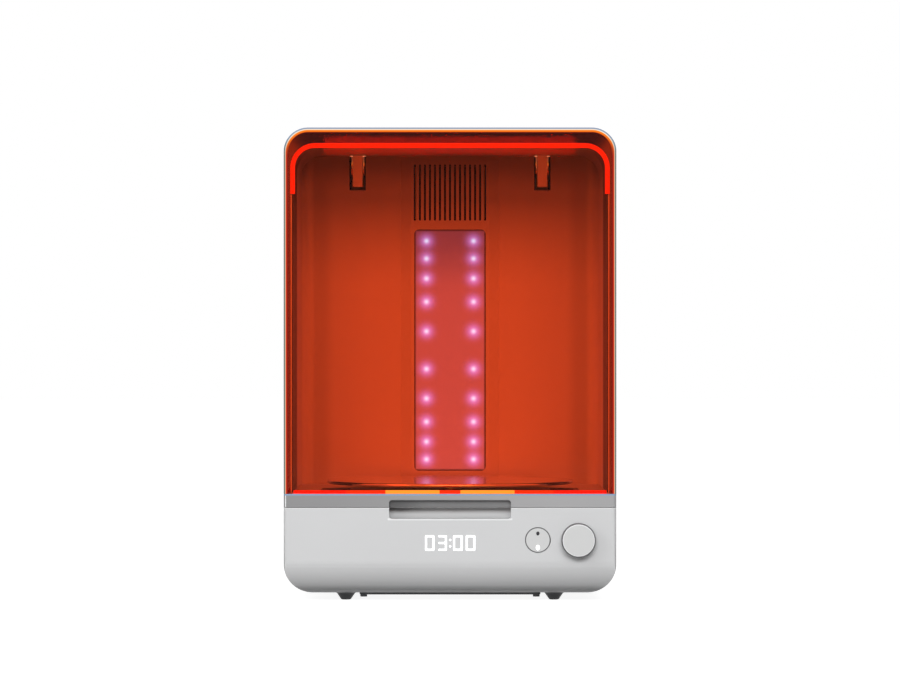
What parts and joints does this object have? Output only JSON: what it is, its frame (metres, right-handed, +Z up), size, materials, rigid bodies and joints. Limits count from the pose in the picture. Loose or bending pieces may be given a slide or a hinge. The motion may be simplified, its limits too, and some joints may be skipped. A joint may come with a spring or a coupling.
{
  "type": "dental lab light curing unit",
  "caption": "Bench-top light curing unit with a lift-up tinted hood, lamp window, turntable, control knob and start key, on rubber feet.",
  "frame": {"origin": "on the table, under the middle of the outer box", "axes": "+Z up, -Y is the front with the controls, +X to the right seen from the front"},
  "size_m": [0.271, 0.279, 0.3867],
  "materials": {
    "base_plastic": "fine satin moulded grey",
    "band_plastic": "satin mid grey",
    "hood_acrylic": "polished transparent orange",
    "mirror_sheet": "bright reflector sheet",
    "seal_rubber": "red silicone",
    "foot_rubber": "matte dark",
    "steel_sheet": "plain zinc-plated",
    "screw_steel": "plated",
    "bright_steel": "ground and polished",
    "aluminium": "bead-blasted",
    "brass": "turned",
    "black_plastic": "fine matte",
    "dark_plastic": "matte",
    "window_pane": "clear",
    "circuit_green": "solder mask",
    "board_white": "white solder mask",
    "lamp_body": "clear lens over a lit chip",
    "light_guide": "milky white",
    "knob_plastic": "satin with a bright bevel",
    "button_plastic": "satin",
    "strip_white": "bright white"
  },
  "bodies": {
    "root": {"base_shell": "base_plastic", "bottom_cover": "steel_sheet", "bottom_cover_screws": "screw_steel", "rubber_feet": "foot_rubber", "chamber_floor": "mirror_sheet", "floor_vent_left": "dark_plastic", "floor_vent_right": "dark_plastic", "chassis_plate": "steel_sheet", "chassis_screws": "screw_steel", "chamber_liner": "mirror_sheet", "liner_seal": "seal_rubber", "rear_housing": "base_plastic", "housing_screws": "screw_steel", "rear_cover": "base_plastic", "rear_cover_screws": "screw_steel", "lamp_window": "window_pane", "lamp_board": "board_white", "lamps": "lamp_body", "heatsink": "aluminium", "heatsink_screws": "screw_steel", "heater": "aluminium", "circulation_fan_frame": "black_plastic", "exhaust_fan_frame": "black_plastic", "fan_screws": "screw_steel", "hinge_brackets": "steel_sheet", "hinge_screws": "screw_steel", "hinge_bushes": "brass", "friction_barrels": "bright_steel", "turntable_motor": "aluminium", "motor_bracket": "steel_sheet", "motor_screws": "screw_steel", "spindle_bush": "brass", "main_board": "circuit_green", "power_supply": "aluminium", "display_board": "circuit_green", "display_light_guide": "light_guide", "display_screws": "screw_steel", "encoder_body": "aluminium", "start_switch": "black_plastic", "button_spring": "bright_steel", "mains_inlet": "black_plastic", "inlet_pins": "brass", "switch_housing": "black_plastic", "hood_sensor": "circuit_green"},
    "hood": {"hood_shell": "hood_acrylic", "hood_band": "band_plastic", "lip_strips": "strip_white", "hood_magnet": "bright_steel", "hinge_arm_left": "aluminium", "hinge_arm_right": "aluminium", "hinge_pins": "bright_steel"},
    "spindle": {"turntable_spindle": "bright_steel"},
    "turntable": {"turntable": "bright_steel"},
    "knob_push": {"encoder_slider": "bright_steel"},
    "knob": {"encoder_shaft": "bright_steel", "knob_cap": "knob_plastic"},
    "start_button": {"start_button": "button_plastic"},
    "power_rocker": {"power_rocker": "black_plastic"},
    "circulation_rotor": {"circulation_fan_rotor": "dark_plastic"},
    "exhaust_rotor": {"exhaust_fan_rotor": "dark_plastic"}
  },
  "joints": [
    {"name": "hood_hinge", "type": "hinge", "parent": "root", "child": "hood", "pos_m": [0, 0.126, 0.3627], "axis": [-1, 0, 0], "range_deg": [0, 70]},
    {"name": "spindle_turn", "type": "hinge", "parent": "root", "child": "spindle", "pos_m": [0, -0.01, 0.0877], "axis": [0, 0, 1], "continuous": true},
    {"name": "turntable_lift", "type": "slide", "parent": "spindle", "child": "turntable", "axis": [0, 0, 1], "range_m": [0, 0.025]},
    {"name": "knob_press", "type": "slide", "parent": "root", "child": "knob_push", "axis": [0, 1, 0], "range_m": [0, 0.0006], "stiffness_N_per_m": 4000},
    {"name": "knob_turn", "type": "hinge", "parent": "knob_push", "child": "knob", "pos_m": [0.1045, -0.1305, 0.051], "axis": [0, -1, 0], "continuous": true},
    {"name": "start_press", "type": "slide", "parent": "root", "child": "start_button", "axis": [0, 1, 0], "range_m": [0, 0.0006], "stiffness_N_per_m": 2500},
    {"name": "power_rock", "type": "hinge", "parent": "root", "child": "power_rocker", "pos_m": [0.048, 0.133, 0.045], "axis": [1, 0, 0], "range_deg": [0, 18]},
    {"name": "circulation_spin", "type": "hinge", "parent": "root", "child": "circulation_rotor", "pos_m": [0, 0.126, 0.34275], "axis": [0, 1, 0], "continuous": true},
    {"name": "exhaust_spin", "type": "hinge", "parent": "root", "child": "exhaust_rotor", "pos_m": [0, 0.132, 0.20475], "axis": [0, 1, 0], "continuous": true}
  ]
}
